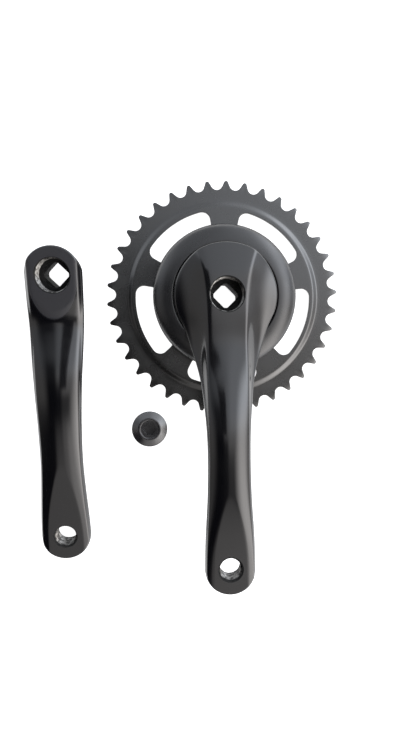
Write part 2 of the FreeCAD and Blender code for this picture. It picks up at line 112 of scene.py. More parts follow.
LEFT_STATIONS = (
    (-24.0, 16.0, 18.3, 0.7, 1.4, -3.4, -29.0, 4.6),
    (-10.0, 16.0, 18.3, 1.0, 1.4, -3.4, -29.0, 4.6),
    (4.0, 16.0, 18.2, 1.1, 1.5, -3.4, -29.0, 4.6),
    (16.0, 15.8, 18.0, 0.8, 1.6, -3.2, -28.4, 4.6),
    (28.0, 15.4, 17.6, -0.15, 1.7, -3.0, -24.2, 4.3),
    (38.0, 15.0, 17.1, 1.9, 2.2, -1.6, -19.0, 3.8),
    (48.0, 14.6, 16.6, 5.0, 2.7, 0.8, -13.8, 3.2),
    (58.0, 14.3, 16.0, 8.1, 3.1, 3.4, -9.0, 2.7),
    (68.0, 14.0, 15.4, 10.3, 3.3, 5.4, -5.0, 2.3),
    (78.0, 13.7, 14.9, 11.9, 3.4, 6.9, -2.1, 2.2),
    (90.0, 13.3, 14.3, 13.0, 3.4, 8.1, -0.1, 2.2),
    (104.0, 12.9, 13.9, 13.7, 3.2, 9.2, 1.2, 2.2),
    (120.0, 12.9, 13.8, 14.4, 3.0, 10.0, 1.9, 2.2),
    (136.0, 13.5, 14.5, 15.1, 2.8, 10.6, 2.0, 2.2),
    (150.0, 14.3, 15.4, 15.6, 2.6, 11.0, 2.0, 2.2),
    (162.0, 15.0, 16.1, 15.8, 2.5, 11.2, 2.0, 2.2),
    (174.0, 15.4, 16.4, 15.8, 2.4, 11.2, 2.0, 2.2),
    (190.0, 15.4, 16.4, 15.8, 2.4, 11.2, 2.0, 2.2),
)


# ---------------------------------------------------------------- small helpers
def spline(xs, ys):
    """Natural cubic spline through the stations, as a function of distance."""
    n = len(xs)
    h = np.diff(xs)
    a = np.eye(n)
    b = np.zeros(n)
    for i in range(1, n - 1):
        a[i, i - 1], a[i, i], a[i, i + 1] = h[i - 1], 2 * (h[i - 1] + h[i]), h[i]
        b[i] = 6 * ((ys[i + 1] - ys[i]) / h[i] - (ys[i] - ys[i - 1]) / h[i - 1])
    m = np.linalg.solve(a, b)

    def value(x):
        x = np.asarray(x, float)
        i = np.clip(np.searchsorted(xs, x) - 1, 0, n - 2)
        left, right, step = x - xs[i], xs[i + 1] - x, h[i]
        return ((m[i] * right**3 + m[i + 1] * left**3) / (6 * step)
                + (ys[i] / step - m[i] * step / 6) * right
                + (ys[i + 1] / step - m[i + 1] * step / 6) * left)

    return value


def station_curves(rows):
    table = np.array(rows, float)
    return [spline(table[:, 0], table[:, k]) for k in range(1, 8)]


def soft_min(a, b, k):
    low = np.minimum(a, b)
    return low - k * np.log1p(np.exp(-np.abs(a - b) / k))


def placement(at, tilt, turn):
    return (Matrix.Translation(Vector(at)) @ Matrix.Rotation(math.radians(turn), 4, "Z")
            @ Matrix.Rotation(math.radians(tilt), 4, "X") @ Matrix.Scale(MM, 4))


DRIVE = placement(DRIVE_AT, DRIVE_TILT, DRIVE_TURN)
LEFT = placement(LEFT_AT, LEFT_TILT, LEFT_TURN)
CAP = placement(CAP_AT, 0.0, 0.0)


def new_object(name, verts, faces, materials=()):
    mesh = bpy.data.meshes.new(name)
    mesh.from_pydata([tuple(v) for v in verts], [], [tuple(f) for f in faces])
    obj = bpy.data.objects.new(name, mesh)
    bpy.context.scene.collection.objects.link(obj)
    for m in materials:
        mesh.materials.append(m)
    return obj


def tidy(obj, merge=1e-4):
    bm = bmesh.new()
    bm.from_mesh(obj.data)
    bmesh.ops.remove_doubles(bm, verts=bm.verts, dist=merge)
    bmesh.ops.dissolve_degenerate(bm, edges=bm.edges, dist=merge)
    bmesh.ops.recalc_face_normals(bm, faces=bm.faces)
    bm.to_mesh(obj.data)
    bm.free()
    return obj


def apply_modifiers(obj):
    graph = bpy.context.evaluated_depsgraph_get()
    mesh = bpy.data.meshes.new_from_object(obj.evaluated_get(graph), depsgraph=graph)
    mesh.materials.clear()
    obj.modifiers.clear()
    obj.data = mesh
    return obj


def boolean(obj, other, kind):
    mod = obj.modifiers.new(kind, "BOOLEAN")
    mod.operation = kind
    mod.solver = "MANIFOLD"
    mod.object = other
    apply_modifiers(obj)
    bpy.data.objects.remove(other)
    return obj


def lathe(name, profile, steps=192):
    """Turned solid: profile is (radius, height) pairs, closed on itself or from axis to axis."""
    turns = np.linspace(0, 2 * math.pi, steps, endpoint=False)
    verts = [(r * math.cos(t), r * math.sin(t), z) for t in turns for r, z in profile]
    n = len(profile)
    on_axis = profile[0][0] == 0 and profile[-1][0] == 0
    faces = []
    for i in range(steps):
        j = (i + 1) % steps
        for k in range(n - 1 if on_axis else n):
            m = (k + 1) % n
            faces.append((i * n + k, j * n + k, j * n + m, i * n + m))
    return tidy(new_object(name, verts, faces))


def loft(name, loops, ends="capped"):
    """Skin over closed loops; its ends are capped, left as they are, or joined into a ring."""
    n = len(loops[0])
    verts = [v for loop in loops for v in loop]
    faces = []
    for i in range(len(loops) if ends == "joined" else len(loops) - 1):
        j = (i + 1) % len(loops)
        for k in range(n):
            m = (k + 1) % n
            faces.append((i * n + k, i * n + m, j * n + m, j * n + k))
    if ends == "capped":
        faces.append(tuple(reversed(range(n))))
        faces.append(tuple(range((len(loops) - 1) * n, len(loops) * n)))
    return tidy(new_object(name, verts, faces))


def join(objs, name):
    """Several islands in one piece."""
    bm = bmesh.new()
    materials = []
    for o in objs:
        offset = len(bm.faces)
        bm.from_mesh(o.data)
        bm.faces.ensure_lookup_table()
        slots = []
        for m in o.data.materials:
            if m not in materials:
                materials.append(m)
            slots.append(materials.index(m))
        for f in bm.faces[offset:]:
            f.material_index = slots[f.material_index] if slots else 0
    mesh = bpy.data.meshes.new(name)
    bm.to_mesh(mesh)
    bm.free()
    for m in materials:
        mesh.materials.append(m)
    for o in objs:
        bpy.data.objects.remove(o)
    obj = bpy.data.objects.new(name, mesh)
    bpy.context.scene.collection.objects.link(obj)
    return obj


def smooth_by_angle(obj, degrees=32.0):
    mesh = obj.data
    mesh.polygons.foreach_set("use_smooth", [True] * len(mesh.polygons))
    bm = bmesh.new()
    bm.from_mesh(mesh)
    limit = math.radians(degrees)
    for e in bm.edges:
        e.smooth = not (len(e.link_faces) == 2 and e.calc_face_angle(0.0) > limit)
    bm.to_mesh(mesh)
    bm.free()
    return obj


# ---------------------------------------------------------------- materials
def material(name, colour, rough, metallic=0.0, ior=1.5):
    m = bpy.data.materials.new(name)
    m.use_nodes = True
    p = m.node_tree.nodes["Principled BSDF"]
    p.inputs["Base Color"].default_value = (*colour, 1.0)
    p.inputs["Roughness"].default_value = rough
    p.inputs["Metallic"].default_value = metallic
    p.inputs["IOR"].default_value = ior
    return m


def noise(m, scale, detail=3.0, stretch=(1, 1, 1)):
    t = m.node_tree
    where = t.nodes.new("ShaderNodeTexCoord")
    mapping = t.nodes.new("ShaderNodeMapping")
    mapping.inputs["Scale"].default_value = stretch
    n = t.nodes.new("ShaderNodeTexNoise")
    n.inputs["Scale"].default_value = scale
    n.inputs["Detail"].default_value = detail
    t.links.new(where.outputs["Object"], mapping.inputs["Vector"])
    t.links.new(mapping.outputs["Vector"], n.inputs["Vector"])
    return n


def varied(m, socket, source, low, high, from_low=0.3, from_high=0.7):
    t = m.node_tree
    r = t.nodes.new("ShaderNodeMapRange")
    r.inputs["From Min"].default_value = from_low
    r.inputs["From Max"].default_value = from_high
    r.inputs["To Min"].default_value = low
    r.inputs["To Max"].default_value = high
    t.links.new(source.outputs[0], r.inputs["Value"])
    t.links.new(r.outputs["Result"], t.nodes["Principled BSDF"].inputs[socket])


def bumped(m, sources, distance):
    t = m.node_tree
    last = None
    for source, strength in sources:
        b = t.nodes.new("ShaderNodeBump")
        b.inputs["Strength"].default_value = strength
        b.inputs["Distance"].default_value = distance
        t.links.new(source.outputs[0], b.inputs["Height"])
        if last:
            t.links.new(last.outputs["Normal"], b.inputs["Normal"])
        last = b
    t.links.new(last.outputs["Normal"], t.nodes["Principled BSDF"].inputs["Normal"])


def toned(m, source, dark, light, from_low=0.35, from_high=0.65):
    t = m.node_tree
    ramp = t.nodes.new("ShaderNodeValToRGB")
    ramp.color_ramp.elements[0].position = from_low
    ramp.color_ramp.elements[0].color = (*dark, 1)
    ramp.color_ramp.elements[1].position = from_high
    ramp.color_ramp.elements[1].color = (*light, 1)
    t.links.new(source.outputs[0], ramp.inputs["Fac"])
    t.links.new(ramp.outputs["Color"], t.nodes["Principled BSDF"].inputs["Base Color"])


def inside_ellipse(m, centre, half_x, half_y):
    """1 inside an upright ellipse about the centre and 0 outside it, with a soft edge."""
    t = m.node_tree
    where = t.nodes.new("ShaderNodeTexCoord")
    mapping = t.nodes.new("ShaderNodeMapping")
    mapping.vector_type = "TEXTURE"
    mapping.inputs["Location"].default_value = centre
    mapping.inputs["Scale"].default_value = (half_x, half_y, 100.0)
    length = t.nodes.new("ShaderNodeVectorMath")
    length.operation = "LENGTH"
    soft = t.nodes.new("ShaderNodeMapRange")
    soft.interpolation_type = "SMOOTHSTEP"
    soft.inputs["From Min"].default_value = 0.93
    soft.inputs["From Max"].default_value = 1.0
    soft.inputs["To Min"].default_value = 1.0
    soft.inputs["To Max"].default_value = 0.0
    t.links.new(where.outputs["Object"], mapping.inputs["Vector"])
    t.links.new(mapping.outputs["Vector"], length.inputs[0])
    t.links.new(length.outputs["Value"], soft.inputs["Value"])
    return soft


COAT = material("coat_gloss_black", (0.003, 0.003, 0.004), 0.13, ior=1.8)
varied(COAT, "Roughness", noise(COAT, 45.0, 4.0), 0.10, 0.17)
bumped(COAT, [(noise(COAT, 900.0, 2.0), 0.03)], 0.0002)

BORE = material("dark_bore", (0.004, 0.004, 0.004), 0.8, ior=1.5)
varied(BORE, "Roughness", noise(BORE, 400.0, 3.0), 0.7, 0.95)
bumped(BORE, [(noise(BORE, 900.0, 2.0), 0.1)], 0.0002)

RAW = material("worn_thread", (0.3, 0.3, 0.29), 0.3, metallic=1.0)
toned(RAW, noise(RAW, 500.0, 3.0), (0.04, 0.039, 0.038), (0.24, 0.235, 0.225), 0.38, 0.62)
varied(RAW, "Roughness", noise(RAW, 300.0, 3.0, (1, 1, 6)), 0.2, 0.4)
bumped(RAW, [(noise(RAW, 500.0, 2.0, (1, 1, 12)), 0.2)], 0.0002)

SATIN = material("satin_black_steel", (0.006, 0.006, 0.006), 0.34, ior=2.0)
varied(SATIN, "Roughness", noise(SATIN, 60.0, 4.0), 0.22, 0.31)
bumped(SATIN, [(noise(SATIN, 2200.0, 2.0), 0.12)], 0.0001)

MATTE = material("matte_black_disc", (0.008, 0.008, 0.009), 0.40, ior=1.72)
varied(MATTE, "Roughness", noise(MATTE, 80.0, 4.0), 0.25, 0.33)
bumped(MATTE, [(noise(MATTE, 2500.0, 2.0), 0.10)], 0.0001)

CAP_BLACK = material("cap_gloss_black", (0.012, 0.012, 0.014), 0.2, ior=2.3)
varied(CAP_BLACK, "Roughness", noise(CAP_BLACK, 120.0, 3.0), 0.15, 0.28)
bumped(CAP_BLACK, [(noise(CAP_BLACK, 1500.0, 2.0), 0.06)], 0.0001)

# Left hub's flat face: a rougher finish, and inside an ellipse round the hub a lighter base colour that is
# a painted reflection (painted sheen), not the coat's own colour
FACED_HUB_SHEEN = material("coat_with_painted_hub_sheen", (0.003, 0.003, 0.004), 0.13, ior=1.8)
hub_sheen_patch = inside_ellipse(FACED_HUB_SHEEN, LEFT_AT, 0.0162, 0.028)
toned(FACED_HUB_SHEEN, hub_sheen_patch, (0.003, 0.003, 0.004), (0.021, 0.021, 0.025), 0.0, 1.0)
varied(FACED_HUB_SHEEN, "Roughness", hub_sheen_patch, 0.13, 0.37, 0.0, 1.0)
bumped(FACED_HUB_SHEEN, [(noise(FACED_HUB_SHEEN, 1200.0, 2.0), 0.05)], 0.0002)

STEEL = material("rivet_steel_dark", (0.25, 0.25, 0.26), 0.35, metallic=1.0)
varied(STEEL, "Roughness", noise(STEEL, 400.0, 3.0), 0.28, 0.5)


# ---------------------------------------------------------------- crank arms
def plan_outline(width_at, hub_r, blend_from, end_r, steps=420):
    """Half outline of an arm from the far side of the hub to the tip: (half width, distance)."""
    start, stop = -hub_r, CRANK + end_r
    t = np.linspace(0, math.pi, steps)
    s = start + (stop - start) * (1 - np.cos(t)) / 2
    hub = np.sqrt(np.clip(hub_r**2 - s**2, 0, None))
    end = np.sqrt(np.clip(end_r**2 - (s - CRANK)**2, 0, None))
    half = width_at(s)
    half = np.where(s < 0, np.minimum(hub, half), half)
    between = (s >= 0) & (s < hub_r)
    half = np.where(between & (s < blend_from), np.minimum(hub, half), half)
    half = np.where(s > CRANK, np.minimum(end, half), half)
    half[0] = half[-1] = 0.0
    return half, s


def arm_mesh(name, rows, hub_r, blend_from, end_r, planes, rim=1.0, back_round=1.2):
    """Closed arm blank: crowned face, coved flanks, walls and back, rounded all the way round."""
    crown_w, half_w, face, drop, edge, back, draft = station_curves(rows)
    w, s = plan_outline(half_w, hub_r, blend_from, end_r)
    ds, dw = np.gradient(s), np.gradient(w)
    ds[0] = ds[-1] = 0.0
    size = np.hypot(ds, dw)
    nx, ns = -ds / size, dw / size            # inward normal of the right-hand outline
    nx[0], ns[0], nx[-1], ns[-1] = 0.0, 1.0, 0.0, -1.0

    def top(x, at):
        a = np.abs(x)
        xr, hw, f, d, e = crown_w(at), half_w(at), face(at), drop(at), edge(at)
        ridge = f - d
        crown = f - d * (a / xr) ** 2
        u = (a - xr) / np.maximum(hw - xr, 0.3)
        u = np.minimum(u, 1.15)
        steep = FLANK_STEEPNESS
        fall = np.where(u < 0, steep * u, steep * u - (steep - 1.0) * u * u)
        z = soft_min(crown, ridge - (ridge - e) * fall, RIDGE_SOFTNESS)
        for level, low, high in planes:
            z = np.where((at >= low) & (at <= high), soft_min(z, np.full_like(z, level), PLANE_SOFTNESS), z)
        return z

    round_steps = 7
    arcs = np.linspace(0, math.pi / 2, round_steps)
    columns_crown = 0.5 * (1 - np.cos(np.linspace(0, math.pi, 45)))
    columns_flank = np.linspace(0, 1, 16)[1:] ** 1.5
    loops = []
    for i in range(len(s)):
        def at_depth(depth):
            return w[i] + nx[i] * depth, s[i] + ns[i] * depth

        qx, qs = at_depth(rim)
        qx = max(qx, 0.0)
        xr = min(float(crown_w(qs)), 0.985 * qx)
        xs = np.concatenate([
            -(xr + (qx - xr) * columns_flank[::-1]),
            -xr + 2 * xr * columns_crown,
            xr + (qx - xr) * columns_flank,
        ])
        loop = [(x, qs, z) for x, z in zip(xs, top(xs, np.full_like(xs, qs)))]
        right = []
        z_rim = float(top(np.array([qx]), np.array([qs]))[0])
        px, ps = at_depth(0.0)
        slope = (z_rim - float(top(np.array([px]), np.array([ps]))[0]))
        for a in arcs[1:]:
            x, y = at_depth(rim * (1 - math.sin(a)))
            right.append((x, y, z_rim - slope * math.sin(a) - rim * (1 - math.cos(a))))
        z_back = float(back(s[i]))
        z_wall = right[-1][2]
        low_depth = float(draft(s[i]))
        for k in range(1, 5):
            f = k / 4
            x, y = at_depth(low_depth * f)
            right.append((x, y, z_wall + (z_back + back_round - z_wall) * f))
        for a in arcs[1:]:
            x, y = at_depth(low_depth + back_round * (1 - math.cos(a)))
            right.append((x, y, z_back + back_round * (1 - math.sin(a))))
        right = [(max(x, 0.0), y, z) for x, y, z in right]
        bx, bs, bz = right[-1]
        across = [(bx * c, bs, bz) for c in (0.66, 0.33, 0.0, -0.33, -0.66)]
        left = [(-x, y, z) for x, y, z in reversed(right)]
        loops.append([(x, -y, z) for x, y, z in loop + right + across + left])
    return loft(name, loops, ends="open")


def clipped_square(half, corner, z, steps=96):
    pts = []
    for t in np.linspace(0, 2 * math.pi, steps, endpoint=False):
        a = (t % (math.pi / 2)) - math.pi / 4
        reach = min(half / math.cos(a), corner)
        pts.append((reach * math.cos(t), reach * math.sin(t), z))
    return pts


def socket_cutter(face, bottom):
    seat = face - EXTRACTOR_DEPTH
    square_top = seat - RELIEF_DEPTH
    length = square_top - bottom + 1.0
    wide = length * math.tan(math.radians(TAPER))
    half = SQUARE / 2
    taper = loft("taper", [clipped_square(half + wide, CORNER_R + wide, square_top - length),
                           clipped_square(half, CORNER_R, square_top + 0.5)])
    bore = lathe("bore", [(0, square_top), (RELIEF_R, square_top), (RELIEF_R, seat),
                          (EXTRACTOR_R, seat), (EXTRACTOR_R, face - 0.5), (EXTRACTOR_MOUTH_R, face),
                          (EXTRACTOR_MOUTH_R + 0.8, face + 1.5), (0, face + 1.5)], 128)
    mouth = lathe("mouth", [(0, bottom - 1), (half + wide + 2.6, bottom - 1),
                            (half + wide + 1.2, bottom + 0.7), (half + wide + 0.4, bottom + 1.4),
                            (0, bottom + 1.4)], 96)
    return bore, taper, mouth


def pedal_cutter(face):
    back = face - END_THICK
    tool = lathe("pedal", [(0, back - 2), (PEDAL_BACK_R + 1.5, back - 1.5),
                           (PEDAL_R, back + PEDAL_BACK_R - PEDAL_R),
                           (PEDAL_R, face - PEDAL_MOUTH_R + PEDAL_R), (PEDAL_MOUTH_R + 1.0, face + 1.0),
                           (PEDAL_MOUTH_R + 1.0, face + 2), (0, face + 2)], 128)
    tool.data.transform(Matrix.Translation((0, -CRANK, 0)))
    return tool


def thread(name, radius, depth, pitch, low, high, x=0.0, y=0.0, right_hand=True, steps=72):
    """Helical ridge standing in from the wall of a bore, or out from a shaft where depth is negative."""
    turns = (high - low) / pitch
    count = int(turns * steps)
    hand = 1.0 if right_hand else -1.0
    loops = []
    for i in range(count + 1):
        f = i / count
        t = 2 * math.pi * turns * f * hand
        z = low + (high - low) * f
        fade = min(1.0, 4 * turns * f + 0.05, 4 * turns * (1 - f) + 0.05)
        crest = radius - depth * fade
        root = radius + math.copysign(0.05, depth)
        ring = [(root, -0.47 * pitch), (crest, -0.07 * pitch), (crest, 0.07 * pitch), (root, 0.47 * pitch)]
        loops.append([(x + r * math.cos(t), y + r * math.sin(t), z + dz) for r, dz in ring])
    return loft(name, loops)


def machined(obj, axes, materials):
    """Second material on the walls of the holes, first one everywhere else."""
    for m in materials:
        obj.data.materials.append(m)
    for p in obj.data.polygons:
        c = p.center
        in_hole = False
        for x, y, radius, low, high in axes:
            if math.hypot(c.x - x, c.y - y) < radius and low < c.z < high:
                in_hole = True
        p.material_index = 1 if in_hole else 0
    return obj


def finished_arm(obj, face, bottom, right_hand, extra=()):
    for piece in extra:
        boolean(obj, piece, "UNION")
    for tool in (*socket_cutter(face, bottom), pedal_cutter(face + OFFSET)):
        boolean(obj, tool, "DIFFERENCE")
    tidy(obj)
    top = face + OFFSET
    machined(obj, [(0, 0, EXTRACTOR_MOUTH_R - 0.02, bottom - 1, face - 0.02),
                   (0, -CRANK, PEDAL_MOUTH_R - 0.02, top - END_THICK + 0.3, top - 0.02)], [COAT, BORE])
    smooth_by_angle(obj)
    threads = [
        thread("m22", EXTRACTOR_R, EXTRACTOR_RIDGE, EXTRACTOR_PITCH,
               face - EXTRACTOR_DEPTH + 1.2, face - 2.2),
        thread("pedal_thread", PEDAL_R, PEDAL_RIDGE, PEDAL_PITCH,
               top - END_THICK + 1.2, top - 1.6, 0, -CRANK, right_hand),
    ]
    for t in threads:
        t.data.materials.append(RAW)
        smooth_by_angle(t, 25)
    return join([obj, *threads], obj.name)


def right_arm():
    pedal_face = HUB_FACE + OFFSET
    arm = arm_mesh("drive_crank_arm", RIGHT_STATIONS, FLANGE_R, FLANGE_BLEND, RIGHT_END_R,
                   [(pedal_face, 100, 200)])
    low = DISC_TOP + DISC_CLEARANCE
    over_disc = lathe("over_disc", [(FLANGE_R, -50), (FLANGE_R, low), (70, low), (70, -50)], 256)
    boolean(arm, over_disc, "DIFFERENCE")
    boss = lathe("boss", [(0, SPIGOT_END), (SPIGOT_R - 0.6, SPIGOT_END),
                          (SPIGOT_R, SPIGOT_END + 0.6), (SPIGOT_R, WEB),
                          (BOSS_R, WEB), (BOSS_R, 18.0), (0, 18.0)])
    arm = finished_arm(arm, HUB_FACE, SPIGOT_END, True, [boss])
    return ride_in_place(arm, DRIVE, "drive_side", "right_crank_arm")


def left_arm():
    arm = arm_mesh("loose_crank_arm", LEFT_STATIONS, LEFT_HUB_R, 0.0, LEFT_END_R,
                   [(0.0, -40, 30), (OFFSET, 100, 200)])
    arm = finished_arm(arm, 0.0, -LEFT_HUB_DEPTH, False)
    # the upward faces of the hub take the material with the painted sheen
    arm.data.materials.append(FACED_HUB_SHEEN)
    for p in arm.data.polygons:
        if p.material_index == 0 and p.center.z > -3.0 and p.normal.z > 0.9 and p.center.y > -32.0:
            p.material_index = len(arm.data.materials) - 1
    return ride_in_place(arm, LEFT, "left_arm", "left_crank_arm")


# ---------------------------------------------------------------- chainring, disc, rivets and cap
def polar(radius, degrees):
    angle = np.radians(degrees)
    return np.stack([radius * np.cos(angle), radius * np.sin(angle)], -1)


def arc_points(centre, radius, start, stop, steps):
    return centre + polar(radius, np.linspace(start, stop, steps))


def inset(points, depth):
    """Points moved to the left of their direction of travel, which is inwards on an outline."""
    along = np.roll(points, -1, 0) - np.roll(points, 1, 0)
    along /= np.linalg.norm(along, axis=1)[:, None]
    return points + depth * np.stack([-along[:, 1], along[:, 0]], 1)


def at_height(points, z):
    heights = np.broadcast_to(z, len(points))
    return [(x, y, h) for (x, y), h in zip(points, heights)]


def tooth_outline():
    """Toothed rim: rounded tips, straight flanks and roller seats."""
    pitch_angle = 360.0 / TEETH
    pitch_r = PITCH / 2 / math.sin(math.radians(pitch_angle / 2))
    half_tip = math.degrees(TIP_HALF / TIP_R)
    across_tip = np.linspace(-1, 1, 7)
    parts = []
    for i in range(TEETH):
        turn = TOOTH_TURN + i * pitch_angle
        tip = polar(TIP_R - TIP_ROUND * across_tip**2, turn + half_tip * across_tip)
        seat_turn = turn + pitch_angle / 2
        deepest = seat_turn + 180.0
        seat = arc_points(polar(pitch_r, seat_turn), ROLLER_R, deepest + SEAT_ARC, deepest - SEAT_ARC, 13)
        next_tip = polar(TIP_R - TIP_ROUND, turn + pitch_angle - half_tip)
        down = [tip[-1] + (seat[0] - tip[-1]) * f for f in (0.25, 0.5, 0.75)]
        up = [seat[-1] + (next_tip - seat[-1]) * f for f in (0.25, 0.5, 0.75)]
        parts += [tip, down, seat, up]
    return np.concatenate(parts)


def joggle(r):
    f = np.clip((r - JOGGLE_START_R) / (JOGGLE_END_R - JOGGLE_START_R), 0, 1)
    return WEB * (1 - f * f * (3 - 2 * f))


def ring_side(rim, side):
    """Loops over one face of the chainring, from the bore out to the middle of the rim's edge."""
    thin = (RING_THICK - TIP_THICK) / 2
    shift = 0.0 if side > 0 else JOGGLE_SHIFT
    turns = np.degrees(np.arctan2(rim[:, 1], rim[:, 0]))

    def height(r):
        chamfer = thin * np.clip((r - TOOTH_CHAMFER_R) / (TIP_R + 1 - TOOTH_CHAMFER_R), 0, 1)
        return joggle(r + shift) - (RING_THICK if side < 0 else 0.0) - side * chamfer

    circles = [RING_BORE_R + RING_EDGE, 30.0, 42.0, 52.0, 60.0]
    circles += list(np.linspace(JOGGLE_START_R, JOGGLE_END_R, 11) - shift) + [68.0, 71.0]
    bore_z = WEB - RING_THICK / 2 + side * (RING_THICK / 2 - RING_EDGE)
    loops = [at_height(polar(RING_BORE_R, turns), bore_z)]
    loops += [at_height(polar(r, turns), height(np.array(r))) for r in circles]
    last_circle = polar(circles[-1], turns)
    for f in (0.4, 0.75):
        points = last_circle + (inset(rim, RING_EDGE) - last_circle) * f
        loops.append(at_height(points, height(np.linalg.norm(points, axis=1))))
    for a in np.radians((0, 30, 60, 90)):
        points = inset(rim, RING_EDGE * (1 - math.sin(a)))
        flat = height(np.linalg.norm(points, axis=1))
        loops.append(at_height(points, flat - side * RING_EDGE * (1 - math.cos(a))))
    return loops


def window_outline(grow):
    """Arc-shaped opening with round corners, centred on +X and grown all round."""
    half = WINDOW_SPAN / 2
    out_r, in_r = WINDOW_OUT_R - WINDOW_CORNER_R, WINDOW_IN_R + WINDOW_CORNER_R
    out_turn = half - math.degrees(math.asin(WINDOW_CORNER_R / out_r))
    in_turn = half - math.degrees(math.asin(WINDOW_CORNER_R / in_r))
    corner = WINDOW_CORNER_R + grow
    parts = [
        arc_points(0, WINDOW_OUT_R + grow, -out_turn, out_turn, 33),
        arc_points(polar(out_r, out_turn), corner, out_turn, half + 90, 13),
        arc_points(polar(in_r, in_turn), corner, half + 90, in_turn + 180, 13),
        arc_points(0, WINDOW_IN_R - grow, in_turn, -in_turn, 25),
        arc_points(polar(in_r, -in_turn), corner, 180 - in_turn, 270 - half, 13),
        arc_points(polar(out_r, -out_turn), corner, 270 - half, 360 - out_turn, 13),
    ]
    return np.concatenate([p[:-1] for p in parts])


def window_cutter(turn):
    """Prism through the web whose ends flare, so that the cut leaves rounded edges."""
    edge = 0.4
    profile = [(1.6 * edge, WEB + 1.0), (1.6 * edge, WEB + 0.3)]
    profile += [(edge * (1 - math.sin(a)), WEB - edge * (1 - math.cos(a)))
                for a in np.radians((20, 40, 60, 90))]
    middle = WEB - RING_THICK / 2
    profile += [(grow, 2 * middle - z) for grow, z in reversed(profile)]
    tool = loft("window", [at_height(window_outline(grow), z) for grow, z in profile])
    tool.data.transform(Matrix.Rotation(math.radians(turn), 4, "Z"))
    return tool


def rivet_places():
    return [polar(RIVET_PITCH_R, WINDOW_TURN + 360.0 / RIVETS * (i + 0.5)) for i in range(RIVETS)]


def ride_in_place(obj, where, body, node):
    obj.data.transform(where)
    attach(obj, body)
    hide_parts(node)
    return obj


def chainring():
    rim = tooth_outline()
    ring = loft("toothed_ring", ring_side(rim, 1) + ring_side(rim, -1)[::-1], ends="joined")
    for i in range(WINDOWS):
        boolean(ring, window_cutter(WINDOW_TURN + 360.0 / WINDOWS * i), "DIFFERENCE")
    ring.data.materials.append(SATIN)
    smooth_by_angle(ring)
    return ride_in_place(ring, DRIVE, "drive_side", "chainring")


def guard_disc():
    """Dished cover: collar, lip beside the flange, domed shoulder and a short skirt."""
    reach, rise = DISC_R - DISC_SHOULDER_IN_R, DISC_TOP - DISC_SHOULDER
    lip = 0.5
    start = math.acos((DISC_LIP_R + lip - DISC_SHOULDER_IN_R) / reach)
    turns = np.linspace(start, 0, 40)
    outer = [(DISC_SHOULDER_IN_R + reach * math.cos(t), DISC_SHOULDER + rise * math.sin(t)) for t in turns]
    top = outer[0][1]
    rounded = [(DISC_LIP_R + lip * (1 - math.sin(a)), top - lip * (1 - math.cos(a)))
               for a in np.radians((90, 60, 30))]
    inner = [(r - DISC_WALL, DISC_SHOULDER + (z - DISC_SHOULDER) * (rise - DISC_WALL) / rise)
             for r, z in outer]
    inner = [(r, z) for r, z in reversed(inner) if r > DISC_LIP_R + DISC_WALL + 1.0]
    collar_low = DISC_COLLAR - DISC_WALL
    profile = [(DISC_BORE_R, DISC_COLLAR), (DISC_LIP_R - 0.3, DISC_COLLAR), (DISC_LIP_R, DISC_COLLAR + 0.3)]
    profile += rounded + outer
    profile += [(DISC_R, WEB + 0.4), (DISC_R - 0.4, WEB), (DISC_R - DISC_WALL + 0.3, WEB),
                (DISC_R - DISC_WALL, WEB + 0.3)]
    profile += inner + [(DISC_LIP_R + DISC_WALL, inner[-1][1] - 0.2),
                        (DISC_LIP_R + DISC_WALL, collar_low + 0.4),
                        (DISC_LIP_R + DISC_WALL - 0.4, collar_low), (DISC_BORE_R, collar_low)]
    disc = lathe("dished_guard", profile, 360)
    disc.data.materials.append(MATTE)
    smooth_by_angle(disc)
    return ride_in_place(disc, DRIVE, "drive_side", "guard_disc")


def chainring_rivets():
    """Domed rivet heads with a set dimple, behind the chainring."""
    back = WEB - RING_THICK
    round_over = [(RIVET_HEAD_R - 1.2 * (1 - math.cos(a)), back - RIVET_HEAD_H + 1.2 * (1 - math.sin(a)))
                  for a in np.radians((0, 25, 50, 75, 90))]
    profile = [(0, 9.0), (RIVET_R, 9.0), (RIVET_R, back), (RIVET_HEAD_R, back)] + round_over
    head = back - RIVET_HEAD_H
    profile += [(1.3, head), (0.9, head + 0.25), (0, head + 0.35)]
    rivets = []
    for place in rivet_places():
        rivet = lathe("rivet", profile, 48)
        rivet.data.transform(Matrix.Translation((*place, 0)))
        rivet.data.materials.append(STEEL)
        rivets.append(smooth_by_angle(rivet))
    group = join(rivets, "ring_rivets")
    return ride_in_place(group, DRIVE, "drive_side", "chainring_rivets")


